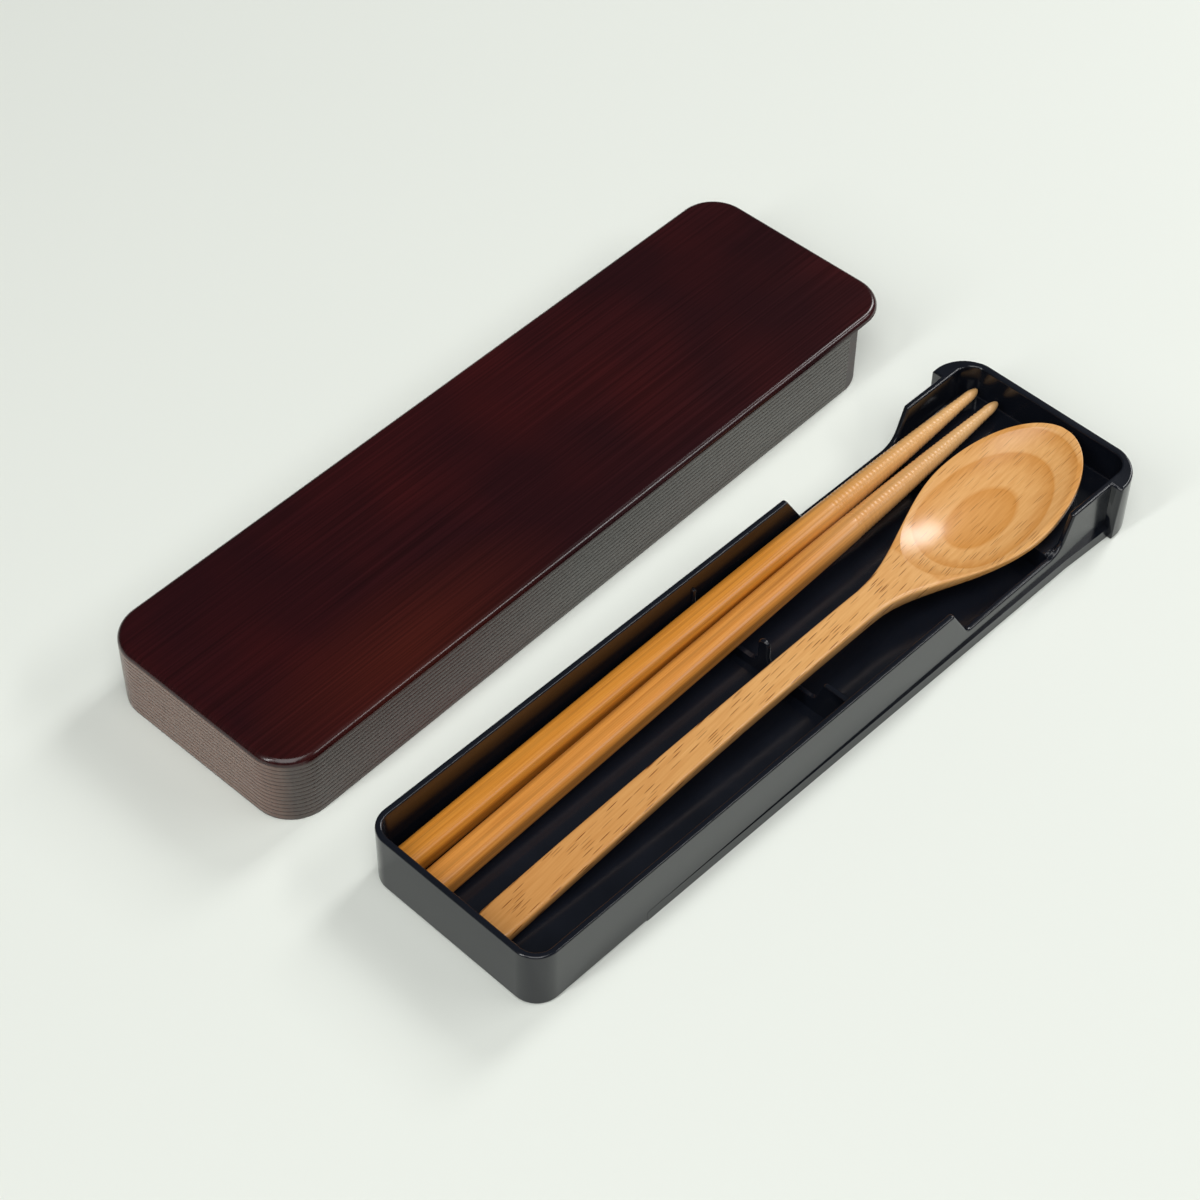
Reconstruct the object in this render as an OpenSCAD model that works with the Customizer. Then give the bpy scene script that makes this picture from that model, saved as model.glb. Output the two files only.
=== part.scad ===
// Portable chopstick case: a sliding cover laid beside its open tray, which holds
// a pair of chopsticks and a spoon. Millimetres. The origin is the middle of the
// tray's underside, +Y runs to the tray's wide head and +Z is up.

/* [Chopsticks] */
// Length of a chopstick
stick_l = 194.5; // [150:0.5:230]
// Width across the flats of the square grip
stick_w = 6.5; // [5.5:0.1:8]
// Rounding of the grip's long edges
stick_edge_r = 2; // [1:0.1:2.6]
// Diameter of the tip
stick_tip_d = 2.2; // [1.6:0.1:3.2]
// Length of the tip's round end
stick_dome_l = 4.5; // [1.5:0.1:6]
// How late the taper sets in
stick_taper = 4.5; // [3:0.1:6]
// Length of the grooved stretch at the tip
ring_run = 55; // [20:1:70]
// Distance from one anti-slip groove to the next
ring_pitch = 1.25; // [1:0.05:2]
// Depth of an anti-slip groove
ring_depth = 0.12; // [0.05:0.01:0.25]
// Turn of the left chopstick as it lies
left_turn = 0.39; // [0:0.01:0.6]
// Turn of the right chopstick as it lies
right_turn = 1.1; // [0.5:0.01:1.2]

/* [Spoon] */
// Width of the bowl
bowl_w = 31.3; // [26:0.1:36]
// Distance from the widest section to the tip
bowl_tip_l = 27.4; // [22:0.1:32]
// Length over which the handle widens to the bowl
bowl_neck_l = 45; // [35:0.5:55]
// Width of the handle near its end
handle_w = 9; // [7:0.1:11]
// Width of the handle at its waist
waist_w = 7.7; // [6:0.1:9]
// Thickness of the handle
handle_t = 3.7; // [3:0.1:5]
// Thickness of the handle at its end
handle_end_t = 3; // [2:0.1:4]
// Height of the handle's arch over its end
arch_h = 3.6; // [2:0.1:5]
// Dip of the bowl's mouth below the arch
mouth_dip = 3.2; // [2:0.1:4]
// Rise of the tip over the mouth
tip_rise = 4.7; // [3:0.1:6]
// Depth of the dish
dish_d = 3.4; // [2:0.1:4]
// Length of the dish from its near end to the widest section
dish_l = 28.2; // [24:0.1:32]
// Thickness of the wood under the dish
bowl_t = 1.2; // [1:0.1:2.5]
// Softening of the handle's upper edges
handle_edge = 0.8; // [0.4:0.1:1.2]
// Width and thickness of the bowl's rim
rim_t = 1.4; // [1:0.1:2]
// Waist of the handle as a share of the way to the bowl
waist_at = 0.55; // [0.4:0.01:0.7]
// Crest of the arch as a share of the spoon's length
crest_at = 0.5; // [0.4:0.01:0.6]
// Start of the dip as a share of the spoon's length
dip_at = 0.6; // [0.5:0.01:0.64]
// End of the dip as a share of the neck
dip_end_at = 0.77; // [0.6:0.01:0.9]
// Start of the rise to the tip as a share of the neck
rise_at = 0.6; // [0.5:0.01:0.8]
// Straight share of the rise to the tip
rise_straight = 0.65; // [0.4:0.01:0.9]
// Start of the bowl's fuller section as a share of the neck
full_at = 0.2; // [0.1:0.01:0.4]
// End of that change as a share of the neck
full_end_at = 0.75; // [0.6:0.01:0.95]
// Upright share of the handle's sides
side_share = 0.7; // [0.5:0.01:0.9]
// Fullness of the belly, less is fuller
belly_power = 0.7; // [0.5:0.01:1]
// Turn of the spoon as it lies
spoon_turn = 0.35; // [0:0.05:0.6]

/* [Tray] */
// Thickness of the tray's walls
tray_wall = 1.6; // [1.2:0.1:2.4]
// Thickness of the wall at the head
head_wall = 1.9; // [1.4:0.1:2.6]
// Thickness of the tray's floor
tray_floor = 1.6; // [1.2:0.1:2.4]
// Height of the tray
tray_h = 16.8; // [15:0.1:22]
// Outer corner radius at the near end
near_r = 6.2; // [5:0.1:11]
// Inner corner radius at the head
inner_far_r = 4.5; // [3:0.1:7]
// Rounding of the bottom edge
base_r = 0.6; // [0.3:0.1:1.1]
// Height of the raised deck under the tips
deck_h = 7.4; // [6:0.1:9]
// Length of the raised deck
deck_l = 29.7; // [24:0.1:34]
// Height of the low rim in the finger notches
notch_h = 6.6; // [5.5:0.1:9]
// Length of a finger notch at the rim
notch_l = 43.4; // [36:0.1:50]
// Distance from a finger notch to the head's end
notch_back = 24.8; // [22:0.1:30]
// Run of the notch's near slope
notch_near_run = 6.2; // [3:0.1:9]
// Run of the notch's far slope
notch_far_run = 3.8; // [2:0.1:6]
// Rounding at the foot of the near slope
notch_near_r = 2.2; // [1:0.1:4]
// Rounding at the foot of the far slope
notch_far_r = 5; // [2:0.1:7]
// Height of the partition
part_h = 12.4; // [10:0.1:15]
// Thickness of the partition
part_t = 1.2; // [0.8:0.1:2]
// Width of the partition's post
post_w = 3.2; // [2.4:0.1:4.5]
// Share of the post's width that its round top takes
post_round = 0.96; // [0.5:0.01:0.98]
// Rounding at the foot of the saddles
saddle_r = 2.2; // [1:0.1:2.6]
// Run of the slope right of the spoon's saddle
shoulder_run = 2; // [1:0.1:3]
// Rounding at the top of that slope
shoulder_r = 0.8; // [0.4:0.1:1.2]
// Length of the head that stops the cover
head_l = 10.8; // [10:0.1:14]
// Corner radius of the head
head_r = 9.5; // [6:0.1:10]
// Greatest width of a side rail
rail_w = 0.7; // [0.6:0.05:1]
// Height of a side rail's ledge
rail_h = 3.1; // [2.8:0.1:4]
// Start of a side rail from the near end
rail_start = 33; // [20:1:45]
// Width of a side rail at its start
rail_tip_w = 0.03; // [0.02:0.01:0.3]
// Length over which a side rail widens
rail_taper_l = 67; // [40:1:80]
// Length of a side rail's flare into the head
flare_l = 15; // [10:1:20]
// Width of a side rail where the flare meets the head
flare_w = 1.4; // [1:0.1:2]

/* [Cover] */
// Thickness of the cover's walls
cover_wall = 2.2; // [1.6:0.1:2.8]
// Thickness of the top plate
plate_t = 1.8; // [1.4:0.1:2.4]
// Outer corner radius of the cover
cover_r = 10; // [7:0.1:12]
// Rounding of the top edge
top_r = 1.6; // [0.8:0.1:2.2]
// Rounding of the lower far corner of the side walls
foot_r = 3; // [1:0.1:5]
// Height of an inner guide
guide_h = 1.6; // [1.2:0.1:2.4]
// Turn of the cover as it lies
cover_turn = 1.52; // [0:0.01:3]

/* [Clearances] */
// Room left across the bay beside the chopsticks and the bowl
bay_room = 4.1; // [3.5:0.1:7]
// Room at the near end of the chopsticks
stick_near_room = 1.4; // [0.8:0.1:4]
// Room at the tips of the chopsticks
stick_far_room = 1.2; // [0.8:0.1:4]
// Gap from the left wall to the left grip
stick_side_gap = 2.15; // [1.8:0.05:2.6]
// Gap between the two grips
stick_gap = 2.2; // [2:0.05:2.6]
// Room at the end of the spoon's handle
spoon_near_room = 2.4; // [1:0.1:5]
// Room at the spoon's tip
spoon_far_room = 1.3; // [0.8:0.1:4]
// Gap from the right wall to the bowl
bowl_gap = 1.85; // [1.3:0.05:2.4]
// Gap under what lies in the tray
rest_gap = 0.15; // [0.1:0.01:0.3]
// Room beside and under a piece in its saddle
saddle_gap = 0.8; // [0.4:0.1:1.2]
// Room left of and under the spoon's handle in its saddle
spoon_saddle_room = 3; // [2:0.1:4]
// Room right of the spoon's handle in its saddle
shoulder_room = 3.6; // [2:0.1:5]
// Gap from the tray's wall to the cover's wall
side_room = 2; // [1.4:0.1:3]
// Gap between the rim and the top plate
top_gap = 1.4; // [0.8:0.1:2]
// Gap between the tray's near end and the cover
end_gap = 0.9; // [0.5:0.1:1.5]
// Overhang of the top plate past the head's end
plate_lip = 1.3; // [0.8:0.1:2]
// Inset of the head from the cover's sides
head_inset = 1.5; // [0.8:0.1:1.8]
// Gap between the cover's side walls and the head
stop_gap = 1.5; // [0.5:0.1:2]
// Running gap between the guides and the tray
guide_gap = 0.3; // [0.2:0.05:0.4]
// Gap from the tray's head to the cover laid beside it
lay_gap = 18.8; // [10:0.1:40]
// Shift of the laid cover towards the near end
lay_shift = 3.4; // [0:0.1:20]

/* [Hidden] */
$fn = 96;
cut = 1;

// Tray and cover sizes follow what the tray holds
inner_w = 2 * stick_w + bowl_w + bay_room;
tray_w = inner_w + 2 * tray_wall;
bay_l = stick_near_room + stick_l + stick_far_room;
tray_l = tray_wall + bay_l + head_wall;
far_y = tray_l - head_wall;
inner_near_r = near_r - tray_wall;
deck_y = far_y - deck_l;
part_y = tray_l / 2;
head_y = tray_l - head_l;
cover_w = tray_w + 2 * (side_room + cover_wall);
cover_l = cover_wall + end_gap + tray_l + plate_lip;
cover_h = tray_h + top_gap + plate_t;
head_w = cover_w - 2 * head_inset;
wall_end = cover_wall + end_gap + head_y - stop_gap;
guide_z = rail_h + guide_gap;
guide_in = tray_w / 2 + guide_gap;
rail_x = tray_w / 2;

// Chopsticks lie on the floor at the grip and on the deck's edge near the tip
stick_full_d = sqrt(2) * (stick_w - 2 * stick_edge_r) + 2 * stick_edge_r;
stick_y = tray_wall + stick_near_room;
stick_deck_t = deck_y - stick_y;
stick_rise = deck_h + stick_r(stick_deck_t) - tray_floor - stick_w / 2;
stick_tilt = atan2(stick_rise, stick_deck_t);
left_x = -inner_w / 2 + stick_side_gap + stick_w / 2;
right_x = left_x + stick_w + stick_gap;
body_steps = 14;
tip_steps = 5;
ring_count = floor((ring_run - stick_dome_l) / ring_pitch);

// Spoon lies on the floor at the handle's end and on the deck's edge at the bowl
spoon_l = bay_l - spoon_near_room - spoon_far_room;
spoon_y = tray_wall + spoon_near_room;
bowl_s = spoon_l - bowl_tip_l;
neck_s = bowl_s - bowl_neck_l;
bowl_x = inner_w / 2 - bowl_gap - bowl_w / 2;
spoon_deck_s = deck_y - spoon_y;
spoon_trim = 0.1;
spoon_steps = 64;
half_steps = 14;
dish_steps = half_steps - 4;
spoon_low = spoon_top(spoon_trim) - spoon_depth(spoon_trim);
spoon_over_deck = [for (i = [0:spoon_steps]) spoon_deck_s + (spoon_l - spoon_deck_s) * i / spoon_steps];
spoon_tilt = max([for (s = spoon_over_deck)
    atan2(deck_h - tray_floor + spoon_low - spoon_top(s) + spoon_depth(s), s - spoon_trim)]);

// Partition saddles follow the pieces that pass over them
stick_part_z = tray_floor + rest_gap + (part_y - stick_y) * tan(stick_tilt);
saddle_z = stick_part_z - saddle_gap / 2;
stub_x = left_x - (part_y - stick_y) * tan(left_turn) - stick_w / 2 - saddle_gap;
spoon_part_s = part_y - spoon_y;
spoon_part_x = bowl_x - (bowl_s - spoon_part_s) * tan(spoon_turn);
spoon_saddle_z = part_h - handle_t - spoon_saddle_room;
post_x1 = spoon_part_x - waist_w / 2 - spoon_saddle_room;
post_x0 = post_x1 - post_w;
shoulder_x = spoon_part_x + waist_w / 2 + shoulder_room;
post_r = post_round * post_w / 2;

// Smooth step from 0 at a to 1 at b
function blend(a, b, s) = let (k = min(1, max(0, (s - a) / (b - a)))) k * k * (3 - 2 * k);

// Points of an arc of radius r that rounds the corner b between a and c
function corner(a, b, c, r, n = 8) =
    let (u = (a - b) / norm(a - b), v = (c - b) / norm(c - b))
    let (half = acos(u * v) / 2, m = b + (u + v) / norm(u + v) * r / sin(half))
    let (p = b + u * r / tan(half) - m, q = b + v * r / tan(half) - m)
    let (a0 = atan2(p.y, p.x), sweep = (atan2(q.y, q.x) - a0 + 540) % 360 - 180)
    [for (i = [0:n]) m + r * [cos(a0 + sweep * i / n), sin(a0 + sweep * i / n)]];

// Turned radius of a chopstick at distance t from its grip's end
function stick_r(t) =
    (stick_tip_d + (stick_full_d - stick_tip_d) * (1 - pow(t / stick_l, stick_taper))) / 2;

// Half width of the spoon at distance s from its handle's end
function spoon_half(s) =
    let (handle = handle_w + (waist_w - handle_w) * blend(0, waist_at * bowl_s, s))
    let (grown = handle + (bowl_w - handle) * blend(neck_s, bowl_s, s))
    let (end = s < handle_w / 2 ? sqrt(1 - pow(1 - 2 * s / handle_w, 2)) : 1)
    let (tip = s > bowl_s ? sqrt(1 - pow((s - bowl_s) / bowl_tip_l, 2)) : 1)
    grown / 2 * end * tip;

// Height of the spoon's edge line: an arched handle, a dip and a rising bowl
function spoon_top(s) =
    let (arch = arch_h * sin(90 * min(1, s / (crest_at * spoon_l))))
    let (dip = mouth_dip * blend(dip_at * spoon_l, neck_s + dip_end_at * bowl_neck_l, s))
    let (rise_s = neck_s + rise_at * bowl_neck_l, k = max(0, s - rise_s) / (spoon_l - rise_s))
    handle_end_t + arch - dip + tip_rise * ((1 - rise_straight) * k * k + rise_straight * k);

// Share of the bowl in the section at s, from 0 on the handle to 1
function bowl_share(s) = blend(neck_s + full_at * bowl_neck_l, neck_s + full_end_at * bowl_neck_l, s);

// Share of the bowl's full depth at s, falling to 0 at the tip
function tip_share(s) = s < bowl_s ? 1 : sqrt(max(0, 1 - pow((s - bowl_s) / bowl_tip_l, 2)));

// Share of the dish's full depth at s: an oval with a crisp edge across the neck
function dish_share(s) =
    let (reach = s < bowl_s ? dish_l : bowl_tip_l - rim_t) max(0, 1 - pow((s - bowl_s) / reach, 2));

// Thickness of the spoon's side face and its full depth at s
function spoon_edge(s) =
    let (b = bowl_share(s)) side_share * (spoon_handle(s) - handle_edge) * (1 - b) + rim_t * b;
function spoon_handle(s) = handle_end_t + (handle_t - handle_end_t) * blend(0, crest_at * spoon_l, s);
function spoon_depth(s) =
    let (b = bowl_share(s), full = rim_t + (dish_d + bowl_t - rim_t) * tip_share(s))
    spoon_handle(s) * (1 - b) + full * b;

// One closed section of the spoon: the dished top, then the round belly
function spoon_section(s) =
    let (w = spoon_half(s), z = spoon_top(s), e = spoon_edge(s), d = spoon_depth(s))
    let (share = dish_share(s), a = bowl_w / 2 - rim_t)
    let (soft = spoon_trim + (min(handle_edge, w / 2) - spoon_trim) * (1 - bowl_share(s)))
    let (inner = max(w / 2, min(w - soft - spoon_trim, a * sqrt(share))) - soft / 2)
    concat(
        [[-w, s, z - soft], [soft - w, s, z]],
        [for (j = [0:dish_steps])
            let (x = -inner * cos(180 * j / dish_steps))
            [x, s, z - dish_d * max(0, share - pow(x / a, 2))]],
        [[w - soft, s, z], [w, s, z - soft]],
        [for (j = [0:half_steps])
            let (u = cos(180 * j / half_steps))
            [w * u, s, z - soft - e - (d - soft - e) * pow(max(0, 1 - u * u), belly_power)]]);

// Plan outline from y = 0 to l, with its own corner radius at each end
module plan(w, l, r0, r1) {
    translate([-w / 2, r0]) square([w, l - r0 - r1]);
    translate([r0 - w / 2, 0]) square([w - 2 * r0, r0]);
    translate([r1 - w / 2, l - r1]) square([w - 2 * r1, r1]);
    for (side = [-1, 1]) translate([side * (w / 2 - r0), r0]) circle(r0);
    for (side = [-1, 1]) translate([side * (w / 2 - r1), l - r1]) circle(r1);
}

// Upright section from x = 0 to r, its outer bottom corner rounded by e
module edge_section(r, h, e) {
    difference() {
        square([r, h]);
        translate([r - e, -cut]) square([e + cut, e + cut]);
    }
    intersection() {
        translate([r - e, e]) circle(e);
        square([r, h]);
    }
}

// Block on a plan outline whose bottom edge is rounded by e all the way round
module soft_block(w, l, h, r0, r1, e) {
    for (side = [0, 1]) mirror([side, 0, 0]) {
        translate([w / 2 - r0, r0, 0]) rotate([0, 0, -90])
            rotate_extrude(angle = 90) edge_section(r0, h, e);
        translate([w / 2 - r1, l - r1, 0]) rotate_extrude(angle = 90) edge_section(r1, h, e);
        translate([0, l - r1, 0]) rotate([90, 0, 0]) linear_extrude(l - r0 - r1) edge_section(w / 2, h, e);
        translate([0, r0, 0]) rotate([90, 0, -90]) mirror([0, 0, 1])
            linear_extrude(w / 2 - r0) edge_section(r0, h, e);
        translate([0, l - r1, 0]) rotate([90, 0, 90]) linear_extrude(w / 2 - r1) edge_section(r1, h, e);
    }
}

// Bay of the tray between two heights and two places along it
module bay(z0, z1, y0, y1) {
    intersection() {
        translate([0, tray_wall, z0]) linear_extrude(z1 - z0)
            plan(inner_w, bay_l, inner_near_r, inner_far_r);
        translate([-inner_w, y0, z0 - cut]) cube([2 * inner_w, y1 - y0, z1 - z0 + 2 * cut]);
    }
}

// Right side rail: a ledge that widens, runs straight and flares into the head
module rail() {
    root = rail_x - tray_wall / 2;
    full = rail_x + rail_w;
    linear_extrude(rail_h) polygon([
        [root, rail_start], [rail_x + rail_tip_w, rail_start], [full, rail_start + rail_taper_l],
        [full, head_y - flare_l], [rail_x + flare_w, head_y], [rail_x + flare_w, head_y + cut],
        [root, head_y + cut]]);
}

// Wide head that stops the cover and closes its open end
module head() {
    intersection() {
        soft_block(head_w, tray_l, tray_h, near_r, head_r, base_r);
        translate([-head_w, head_y, -cut]) cube([2 * head_w, head_l + cut, tray_h + 2 * cut]);
    }
}

// Finger notch through both side walls
module notches() {
    y1 = tray_l - notch_back;
    y0 = y1 - notch_l;
    top = tray_h + cut;
    a = [y0, tray_h];
    b = [y0 + notch_near_run, notch_h];
    c = [y1 - notch_far_run, notch_h];
    d = [y1, tray_h];
    feet = concat(corner(a, b, c, notch_near_r), corner(b, c, d, notch_far_r));
    outline = concat([[y0, top], a], feet, [d, [y1, top]]);
    for (side = [0, 1]) mirror([side, 0, 0]) translate([inner_w / 2, 0, 0])
        rotate([90, 0, 90]) linear_extrude(tray_wall + cut) polygon(outline);
}

// Partition with a saddle for the chopsticks and one for the spoon's handle
module partition() {
    edge = inner_w / 2 + tray_wall / 2;
    low = tray_floor / 2;
    p = [
        [-edge, low], [-edge, part_h], [stub_x, part_h], [stub_x, saddle_z], [post_x0, saddle_z],
        [post_x0, part_h], [post_x1, part_h], [post_x1, spoon_saddle_z], [shoulder_x, spoon_saddle_z],
        [shoulder_x + shoulder_run, part_h], [edge, part_h], [edge, low]];
    r = [0, 0, 0, saddle_r, saddle_r, post_r, post_r, saddle_r, saddle_r, shoulder_r, 0, 0];
    outline = [for (i = [0:len(p) - 1])
        each r[i] == 0 ? [p[i]] : corner(p[i - 1], p[i], p[i + 1], r[i])];
    translate([0, part_y + part_t / 2, 0]) rotate([90, 0, 0]) linear_extrude(part_t) polygon(outline);
}

// Open tray with rails, head, raised deck, finger notches and partition
module tray() {
    color("#15171b") translate([0, -tray_l / 2, 0]) {
        difference() {
            union() {
                soft_block(tray_w, tray_l, tray_h, near_r, inner_far_r + tray_wall, base_r);
                head();
                for (side = [0, 1]) mirror([side, 0, 0]) rail();
            }
            bay(tray_floor, tray_h + cut, 0, deck_y);
            bay(deck_h, tray_h + cut, deck_y - cut, tray_l);
            bay(-cut, deck_h - tray_floor, deck_y + tray_wall, tray_l);
            notches();
        }
        partition();
    }
}

// Right inner guide of the cover, which runs over the tray's rail
module guide() {
    translate([guide_in, cover_r, guide_z])
        cube([cover_w / 2 - cover_wall / 2 - guide_in, wall_end - cover_r - 2 * foot_r, guide_h]);
}

// Cover: a shallow channel closed at the near end, whose plate overhangs the far end
module cover_body() {
    inside_h = cover_h - plate_t;
    difference() {
        translate([0, 0, cover_h]) mirror([0, 0, 1])
            soft_block(cover_w, cover_l, cover_h, cover_r, cover_r, top_r);
        translate([0, cover_wall, -cut]) linear_extrude(inside_h + cut)
            plan(cover_w - 2 * cover_wall, cover_l, cover_r - cover_wall, cover_r - cover_wall);
        translate([-cover_w, wall_end, -cut]) cube([2 * cover_w, cover_l, inside_h + cut]);
        translate([-cover_w, wall_end - foot_r, 0]) rotate([90, 0, 90]) linear_extrude(2 * cover_w)
            difference() {
                translate([0, -cut]) square([foot_r + cut, foot_r + cut]);
                translate([0, foot_r]) circle(foot_r);
            }
    }
    for (side = [0, 1]) mirror([side, 0, 0]) guide();
}

// Cover where it lies, beside the tray
module cover() {
    color("#33171a") translate([-head_w / 2 - lay_gap - cover_w / 2, -lay_shift, 0])
        rotate([0, 0, cover_turn]) translate([0, -cover_l / 2, 0]) cover_body();
}

// Outline that is turned about the chopstick's axis, with rings near the tip
module stick_outline() {
    ring_t = stick_l - ring_run;
    dome_t = stick_l - stick_dome_l;
    shaft = [for (i = [0:body_steps - 1]) let (t = ring_t * i / body_steps) [stick_r(t), t]];
    rings = [for (i = [0:ring_count - 1], k = [0, 1])
        let (t = ring_t + (i + k / 2) * ring_pitch) [stick_r(t) - k * ring_depth, t]];
    dome = [for (i = [0:tip_steps])
        let (a = 90 * i / tip_steps) [stick_r(dome_t) * cos(a), dome_t + stick_dome_l * sin(a)]];
    polygon(concat([[0, 0]], shaft, rings, dome));
}

// One chopstick along +Y: a square bar with round edges, turned down towards its tip
module stick() {
    rotate([-90, 0, 0]) intersection() {
        rotate_extrude() stick_outline();
        translate([-stick_w / 2, -stick_w / 2, 0]) linear_extrude(stick_l + cut)
            translate([stick_w / 2, 0]) plan(stick_w, stick_w, stick_edge_r, stick_edge_r);
    }
}

// One chopstick where it lies in the tray
module laid_stick(x, turn) {
    color("#cf8c45")
        translate([x, stick_y - tray_l / 2, tray_floor + rest_gap + stick_w / 2])
        rotate([stick_tilt, 0, turn]) stick();
}

module chopstick_left() {
    laid_stick(left_x, left_turn);
}

module chopstick_right() {
    laid_stick(right_x, right_turn);
}

// Spoon where it lies in the tray, lofted through its sections
module spoon() {
    span = spoon_l - 2 * spoon_trim;
    places = [for (i = [0:spoon_steps]) spoon_trim + span * (1 - cos(180 * i / spoon_steps)) / 2];
    ring = 2 * (half_steps + 1);
    points = [for (s = places) each spoon_section(s)];
    sides = [for (i = [0:spoon_steps - 1], j = [0:ring - 1])
        let (a = i * ring + j, b = i * ring + (j + 1) % ring)
        each [[a, b + ring, b], [a, a + ring, b + ring]]];
    last = spoon_steps * ring;
    caps = [for (j = [0:half_steps - 1])
        let (b = j + 1, c = ring - 2 - j, d = ring - 1 - j)
        each [[j, b, c], [j, c, d], [last + c, last + b, last + j], [last + d, last + c, last + j]]];
    color("#d79b5a")
        translate([bowl_x, spoon_y + bowl_s - tray_l / 2, 0]) rotate([0, 0, -spoon_turn])
        translate([0, -bowl_s, tray_floor + rest_gap]) rotate([spoon_tilt, 0, 0])
        translate([0, 0, -spoon_low]) polyhedron(points, concat(sides, caps));
}

cover();
tray();
chopstick_left();
chopstick_right();
spoon();
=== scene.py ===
"""Looks for a portable chopstick case: a lacquered cover, a gloss tray, two chopsticks and a spoon.

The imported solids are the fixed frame. The two mouldings keep their shape and get softened edges,
the cover gets its ribs, and the wooden pieces are lofted again with a finer skin.
"""

import math

import bmesh
import bpy
import numpy as np
from mathutils import Matrix, Vector


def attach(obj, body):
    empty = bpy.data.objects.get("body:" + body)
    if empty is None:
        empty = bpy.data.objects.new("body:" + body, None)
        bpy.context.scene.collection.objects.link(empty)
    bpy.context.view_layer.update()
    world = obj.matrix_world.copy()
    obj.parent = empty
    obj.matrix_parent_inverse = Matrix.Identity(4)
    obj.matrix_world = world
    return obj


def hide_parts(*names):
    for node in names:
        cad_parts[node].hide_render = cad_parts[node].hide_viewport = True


bl_info = {
    "name": "Portable Chopstick Case",
    "version": (1, 0, 0),
    "blender": (4, 5, 0),
    "location": "View3D > Sidebar > Chopstick Case",
    "description": "Dresses a chopstick case with a sliding cover, its tray, a pair of chopsticks and a spoon",
    "category": "Object",
}

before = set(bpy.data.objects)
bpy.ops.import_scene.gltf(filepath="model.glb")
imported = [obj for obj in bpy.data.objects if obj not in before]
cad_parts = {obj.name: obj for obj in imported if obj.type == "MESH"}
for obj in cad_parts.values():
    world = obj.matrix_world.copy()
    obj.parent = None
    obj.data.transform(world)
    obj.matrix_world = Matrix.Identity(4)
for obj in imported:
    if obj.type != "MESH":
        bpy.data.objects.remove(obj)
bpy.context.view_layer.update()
MM = 0.001

# The tray's own sizes in millimetres, as the solids have them: what lies in the tray is placed from these.
TRAY_L = 200.6
TRAY_WALL = 1.6
TRAY_FLOOR = 1.6
INNER_W = 48.4
BAY_L = 197.1
DECK_H = 7.4
DECK_Y = 169.0
REST_GAP = 0.15

# The cover's length and where it lies, in millimetres and degrees.
COVER_L = 205.0
COVER_AT = (-77.3, -3.4)
COVER_TURN = 1.52

# Each chopstick: its name, where its grip lies across the tray in millimetres, its turn in degrees,
# how far its grain is shifted in metres, and the seed of its grooves.
CHOPSTICKS = (("left", -18.8, 0.39, 0.0, 3), ("right", -10.1, 1.1, 0.37, 8))
# How far their grips lie from the tray's near end in millimetres, and how many points go round a chopstick.
STICK_START = TRAY_WALL + 1.4
STICK_POINTS = 64

# In a solid's mesh, points closer than this are one, and faces that turn by less than the flat angle are one.
# Edges that turn by more than the sharp angle are rounded.
WELD_GAP = 0.002 * MM
FLAT_ANGLE = math.radians(0.6)
SHARP_ANGLE = math.radians(32)

# Half the width of the table top in metres, and the point at which the lamps aim.
TABLE_REACH = 2.5
LAMP_AIM = Vector((-0.03, 0.0, 0.0))

# Each lamp: its name, its place, its width and height in metres, and the setting that holds its power.
LAMPS = (
    ("window_light", (-0.12, 1.03, 0.84), (0.28, 0.6), "window"),
    ("skylight", (0.575, 0.607, 0.757), (0.78, 0.1), "skylight"),
    ("overhead_light", (0.5, -0.6, 1.7), (1.2, 2.0), "overhead"),
    ("front_light", (-0.11, -1.0, 0.85), (0.14, 0.8), "front"),
)
WORLD_COLOUR = "#eef1f4"
WORLD_STRENGTH = 0.07

# The photograph's camera, fitted to the tray's box and to the cover's plate: its place in metres,
# the way to its right, the way that it looks, and its lens and sensor in millimetres.
CAMERA_AT = (0.259333, -0.327714, 0.498580)
CAMERA_RIGHT = Vector((0.71678, 0.69725, 0.00839)).normalized()
CAMERA_AHEAD = Vector((-0.45684, 0.47866, -0.74979)).normalized()
CAMERA_LENS = 85.876
CAMERA_SENSOR = 36.0


def linear(code):
    """Linear RGBA of an sRGB hex colour."""
    parts = [int(code[i : i + 2], 16) / 255 for i in (1, 3, 5)]
    return tuple(c / 12.92 if c <= 0.04045 else ((c + 0.055) / 1.055) ** 2.4 for c in parts) + (1.0,)


def add(tree, kind, inputs=None, stops=None, **settings):
    """Adds a node with its settings, the values or links of its inputs, and the stops of its ramp."""
    made = tree.nodes.new(kind)
    for key, value in settings.items():
        setattr(made, key, value)
    for key, value in (inputs or {}).items():
        if isinstance(value, bpy.types.NodeSocket):
            tree.links.new(value, made.inputs[key])
        else:
            made.inputs[key].default_value = value
    if stops:
        points = made.color_ramp.elements
        while len(points) < len(stops):
            points.new(1.0)
        for point, (place, colour) in zip(points, stops):
            point.position = place
            point.color = colour
    return made


def surface(name, **values):
    """A new material, its tree and its Principled shader with plain values set on its own sockets."""
    material = bpy.data.materials.new(name)
    material.use_nodes = True
    tree = material.node_tree
    shader = tree.nodes["Principled BSDF"]
    for key, value in values.items():
        shader.inputs[key.replace("_", " ")].default_value = value
    return material, tree, shader


def grey(value):
    """A grey ramp colour."""
    return (value, value, value, 1.0)


def smooth(a, b, s):
    """Smooth step from 0 at a to 1 at b."""
    k = min(1.0, max(0.0, (s - a) / (b - a)))
    return k * k * (3 - 2 * k)


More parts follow.
